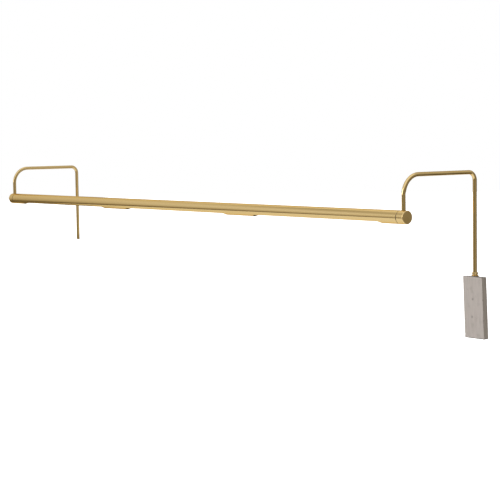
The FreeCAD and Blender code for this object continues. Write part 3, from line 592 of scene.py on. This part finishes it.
def counterweight(material):
    """The sawn bar: its faces slightly uneven, its edges rubbed and chipped, with a few pits,
    painted shade along its top and foot, and darker towards its back face.
    """
    low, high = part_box("counterweight")
    bm = even_mesh("counterweight")
    face_width = high.x - low.x - WEIGHT_LEAN

    def left_face(z):
        return low.x + WEIGHT_LEAN * (high.z - z) / (high.z - low.z)

    # Where the bar was struck or stained: the shares across it and from front to back, the
    # height, and then how wide, how deep and how dark.
    marks = [
        (1.03, 0.16, -0.1830, 2.2 * MM, 1.0 * MM, 1.6),
        (1.00, 0.05, -0.1640, 1.6 * MM, 0.5 * MM, 1.2),
        (1.00, 0.10, -0.2030, 1.5 * MM, 0.5 * MM, 1.2),
        (0.01, 0.03, -0.2320, 1.8 * MM, 0.7 * MM, 1.2),
        (0.48, 0.00, -0.1640, 4.2 * MM, 0.1 * MM, 0.7),
        (0.42, 0.00, -0.1980, 4.0 * MM, 0.1 * MM, 0.7),
        (0.40, 0.00, -0.1955, 1.5 * MM, 0.2 * MM, 0.5),
        (0.22, 0.00, -0.1460, 2.6 * MM, 0.1 * MM, 0.4),
        (0.68, 1.00, -0.1700, 1.6 * MM, 0.3 * MM, 1.2),
        (0.28, 1.00, -0.2110, 3.2 * MM, 0.3 * MM, 0.8),
    ]
    pits = [
        (Vector((left_face(z) + across * face_width, low.y + back * (high.y - low.y), z)), *rest)
        for across, back, z, *rest in marks
    ]
    # How far the rubbed edges and the darkening towards the back face reach in, and the bands of
    # painted shade along the top and the foot.
    edge_reach, back_reach = 2.2 * MM, 4 * MM
    top_shade_band, foot_shade_band = 0.4 * MM, 2 * MM
    # Darkening at each point: real wear, chips and stains, plus painted shade along the top and
    # foot.
    wear_and_painted_shade = {}
    for vert in bm.verts:
        place = vert.co
        left = left_face(place.z)
        gaps = sorted((
            min(place.x - left, left + face_width - place.x),
            min(place.y - low.y, high.y - place.y),
            min(place.z - low.z, high.z - place.z),
        ))
        edge = max(0.0, 1 - gaps[1] / edge_reach)
        chips = noise.noise(place * 420) * 0.5 + noise.noise(place * 1100) * 0.35
        waves = noise.noise(place * 60) * 0.10 + noise.noise(place * 240) * 0.045
        saw_lines = noise.noise(Vector((place.x * 900, place.y * 900, place.z * 40))) * 0.03
        sink = edge * edge * (0.02 + max(0.0, chips) * 0.40) * MM + (waves + saw_lines) * MM
        dark = edge * (0.12 + max(0.0, chips * 1.2))
        # Darker towards the back face.
        dark = max(dark, (0.62 + chips) * (1 - (high.y - place.y) / back_reach))
        # Painted shade: a near-black band along the top face and a dark band along the foot.
        if place.z > high.z - top_shade_band:
            dark = max(dark, 1.0 + chips)
        elif place.z < low.z + foot_shade_band:
            dark = max(dark, 0.55 + chips)
        for centre, width, depth, stain in pits:
            share = max(0.0, 1 - (place - centre).length / width)
            sink += depth * share * share * (3 - 2 * share)
            dark = max(dark, share * stain)
        wear_and_painted_shade[vert.index] = min(1.0, dark)
        vert.co = place - vert.normal * max(0.0, sink)
    piece = new_piece("counterweight_sawn", bm, "counterweight", material,
                      ["counterweight"])
    # The attribute carries the wear, stains and painted shade that weight_metal lays on in
    # near-black brown.
    attribute = piece.data.attributes.new("wear_and_painted_shade", "FLOAT", "POINT")
    attribute.data.foreach_set("value", [wear_and_painted_shade[index] for index in range(len(wear_and_painted_shade))])
    return piece


def lock_nut(material):
    """The nut: a hexagon with turned corners over a groove and a round flange."""
    low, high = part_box("weight_lock_nut")
    middle = (low + high) / 2
    flange = min(high.x - low.x, high.y - low.y) / 2 + 0.6 * MM
    flat = flange - 1.5 * MM
    corner = flat + 0.55 * MM
    groove = flat - 0.7 * MM
    bore = ROD_RADIUS + 0.1 * MM
    foot = low.z
    # Height, the largest radius there, and whether the hexagon's flats cut it.
    profile = [
        (foot, bore, False),
        (foot, flange - 0.35 * MM, False),
        (foot + 0.35 * MM, flange, False),
        (foot + 1.7 * MM, flange, False),
        (foot + 2.1 * MM, flange - 0.5 * MM, False),
        (foot + 2.3 * MM, groove, False),
        (foot + 2.9 * MM, groove, False),
        (foot + 3.1 * MM, corner - 0.3 * MM, True),
        (foot + 3.5 * MM, corner, True),
        (high.z - 0.5 * MM, corner, True),
        (high.z, corner - 0.6 * MM, True),
        (high.z, bore, False),
    ]
    sides, first_flat = 96, 12
    bm = bmesh.new()
    rings = []
    for height, size, cut in profile:
        points = []
        for step in range(sides):
            angle = 2 * math.pi * step / sides
            from_flat = (math.degrees(angle) + first_flat) % 60 - 30
            reach = min(size, flat / math.cos(math.radians(from_flat))) if cut else size
            points.append(bm.verts.new((
                middle.x + reach * math.cos(angle),
                middle.y + reach * math.sin(angle),
                height,
            )))
        rings.append(points)
    for first, second in zip(rings, rings[1:] + rings[:1]):
        ring_between(bm, first, second)
    return new_piece("weight_lock_nut_turned", bm, "right_arm", material,
                     ["weight_lock_nut"])


# The scene round the object


def stage_object(name, bm, material):
    """Turn a bmesh into a thing that stands round the object and isn't part of it."""
    mesh = bpy.data.meshes.new(name)
    bm.to_mesh(mesh)
    bm.free()
    thing = bpy.data.objects.new(name, mesh)
    bpy.context.scene.collection.objects.link(thing)
    mesh.materials.append(material)
    thing.visible_diffuse = False
    thing.visible_shadow = False
    return thing


def add_stage():
    """A plain white floor far below, which no shadow reaches."""
    bm = bmesh.new()
    bmesh.ops.create_circle(bm, cap_ends=True, segments=96, radius=FLOOR_RADIUS)
    material, tree, shader = new_material("floor_white", Roughness=0.9)
    set_inputs(shader, {"Base Color": (0.9, 0.9, 0.9), "Emission Color": (1, 1, 1),
                        "Emission Strength": 1.0})
    floor = stage_object("floor", bm, material)
    floor.location = (0, 0, FLOOR_HEIGHT)
    floor.visible_glossy = False


def lobe(tree, direction, toward, inner, outer):
    """1 within inner degrees of a direction, falling to 0 at outer degrees."""
    aim = Vector(toward).normalized()
    node = add_node(tree, "ShaderNodeVectorMath", operation="DOT_PRODUCT")
    set_inputs(node, {0: direction, 1: tuple(aim)})
    return remap(tree, node.outputs["Value"], math.cos(math.radians(outer)),
                 math.cos(math.radians(inner)))


def warm_light(level):
    """White light of a brightness, turning brown where it is dim."""
    darkest, lightest = 0.15, 0.75
    green_loss, blue_loss = 0.13, 0.42
    dimness = 1 - min(1.0, max(0.0, (level - darkest) / (lightest - darkest)))
    return (level, level * (1 - green_loss * dimness), level * (1 - blue_loss * dimness))


def curve_of(tree, value, marks):
    """Light read off a smooth line through (place, brightness) marks."""
    low, high = marks[0][0], marks[-1][0]
    ramp = add_node(tree, "ShaderNodeValToRGB", {"Fac": remap(tree, value, low, high, smooth=False)})
    ramp.color_ramp.interpolation = "EASE"
    points = ramp.color_ramp.elements
    points.remove(points[-1])
    for place, height in marks:
        share = (place - low) / (high - low)
        point = points.new(share) if share > 0 else points[0]
        point.color = (*warm_light(height), 1)
    return ramp.outputs["Color"]


def add_card(name, across, place, reach, height, axis, marks):
    """A glowing card that only reflections see. marks holds its light along one axis."""
    bm = bmesh.new()
    corners = []
    for side, level in ((0, 0), (1, 0), (1, 1), (0, 1)):
        corner = [reach[side], height[level]]
        corner.insert(across, place)
        corners.append(bm.verts.new(corner))
    bm.faces.new(corners)
    material, tree, shader = new_material(f"{name}_light", Roughness=1.0)
    where = add_node(tree, "ShaderNodeSeparateXYZ", {0: object_coordinates(tree)}).outputs[axis]
    light = curve_of(tree, where, marks)
    set_inputs(shader, {"Base Color": (0, 0, 0), "Specular IOR Level": 0.0,
                        "Emission Color": light, "Emission Strength": 1.0})
    card = stage_object(name, bm, material)
    card.visible_camera = False


def add_studio():
    """Soft light from all round, brighter or darker in patches, and white behind the object."""
    world = bpy.data.worlds.new("studio")
    bpy.context.scene.world = world
    world.use_nodes = True
    tree = world.node_tree
    direction = add_node(tree, "ShaderNodeTexCoord").outputs["Generated"]
    x, y, z = add_node(tree, "ShaderNodeSeparateXYZ", {0: direction}).outputs
    light = curve_of(tree, z, ROOM_LIGHT)
    for toward, inner, outer, level in ROOM_PATCHES:
        share = lobe(tree, direction, toward, inner, outer)
        light = mix_colors(tree, share, light, warm_light(level))
    studio = tree.nodes["Background"]
    set_inputs(studio, {"Color": light, "Strength": 1.0})
    white = add_node(tree, "ShaderNodeBackground", {"Color": (1, 1, 1), "Strength": 1.0})
    seen = add_node(tree, "ShaderNodeLightPath").outputs["Is Camera Ray"]
    mix = add_node(tree, "ShaderNodeMixShader", {0: seen, 1: studio.outputs[0],
                                                 2: white.outputs[0]})
    set_inputs(tree.nodes["World Output"], {"Surface": mix.outputs[0]})


def add_camera():
    """A long lens, off the right end and a little above the shade, looking back along it."""
    yaw, pitch, roll = 0.90247, 0.078416, -0.0155
    forward = Vector((-math.sin(yaw) * math.cos(pitch), math.cos(yaw) * math.cos(pitch),
                      -math.sin(pitch)))
    level = Vector((math.cos(yaw), math.sin(yaw), 0))
    upright = level.cross(forward)
    right = level * math.cos(roll) + upright * math.sin(roll)
    up = upright * math.cos(roll) - level * math.sin(roll)
    data = bpy.data.cameras.new("camera")
    data.sensor_width = 36
    data.lens = 104.4
    data.clip_start, data.clip_end = 0.05, 200
    camera = bpy.data.objects.new("camera", data)
    turn = Matrix((right, up, -forward)).transposed().to_4x4()
    camera.matrix_world = Matrix.Translation((2.5983, -2.0316, 0.1511)) @ turn
    bpy.context.scene.collection.objects.link(camera)
    bpy.context.scene.camera = camera


def dress(node, material):
    """Give a CAD node its material."""
    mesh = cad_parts[node].data
    mesh.materials.clear()
    mesh.materials.append(material)


add_camera()
add_stage()
for card in CARDS:
    add_card(*card)
add_studio()
brass = brass_materials()
zinc = plated_steel("zinc_steel", (0.66, 0.66, 0.65), (0.56, 0.56, 0.55), (0.22, 0.36),
                    (700, 700, 700))
spring = plated_steel("spring_steel", (0.42, 0.42, 0.44), (0.34, 0.33, 0.34), (0.25, 0.38),
                      (900, 900, 900))
nickel = plated_steel("lamp_cap_metal", (0.74, 0.72, 0.68), (0.62, 0.60, 0.56), (0.18, 0.32),
                      (1200, 300, 300))
crimp = plated_steel("crimp_metal", (0.74, 0.72, 0.68), (0.64, 0.62, 0.58), (0.28, 0.40),
                     (900, 900, 900))
nylon = moulded_plastic("black_nylon", (0.10, 0.070, 0.035), (0.12, 0.088, 0.048), (0.5, 0.65))
phenolic = moulded_plastic("black_phenolic", (0.030, 0.026, 0.023), (0.044, 0.038, 0.033),
                           (0.34, 0.46), coat=0.2)
enamel = moulded_plastic("white_enamel", (0.90, 0.90, 0.87), (0.85, 0.85, 0.81), (0.22, 0.32),
                         grain=420, coat=0.4)
wire = moulded_plastic("wire_cover", (0.80, 0.78, 0.70), (0.72, 0.70, 0.61), (0.38, 0.5))
insulator = moulded_plastic("cap_insulator", (0.02, 0.018, 0.03), (0.03, 0.028, 0.04),
                            (0.12, 0.2), coat=0.5)
glass = frosted_glass()
weight = weight_metal()

# The material of each CAD node, found by a word in the node's name.
SKINS = {
    "end_knuckle": brass["ends"],
    "end_cap": brass["turned"],
    "friction_washer": nylon,
    "rod_bush": nylon,
    "grub_screw": zinc,
    "pivot_nipple": zinc,
    "pivot_nut": zinc,
    "spring_washer": spring,
    "shade_plug": brass["turned"],
    "plug_screw": zinc,
    "tray_screws": brass["turned"],
    "holder_rivets": zinc,
    "lamp_tray": enamel,
    "lamp_holder": phenolic,
    "lamp_glass": glass,
    "shade_harness": wire,
    "arm_lead": wire,
    "lead_splices": crimp,
    "weight_stud": zinc,
    "weight_lock_nut": brass["nut"],
    "weight_lock_washer": zinc,
}
for node_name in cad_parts:
    for part_of_name, skin in SKINS.items():
        if part_of_name in node_name:
            dress(node_name, skin)

bent_rod("left_arm_rod_brushed", "left_arm_rod", "left_arm", brass["rods"])
bent_rod("right_arm_rod_brushed", "right_arm_rod", "right_arm", brass["rods"])
shade_tube(brass["shade"])
for lamp_number in range(1, 7):
    lamp_cap(lamp_number, nickel, insulator)
counterweight(weight)
lock_nut(brass["nut"])

bpy.context.scene.view_settings.view_transform = "Standard"

bpy.context.view_layer.update()
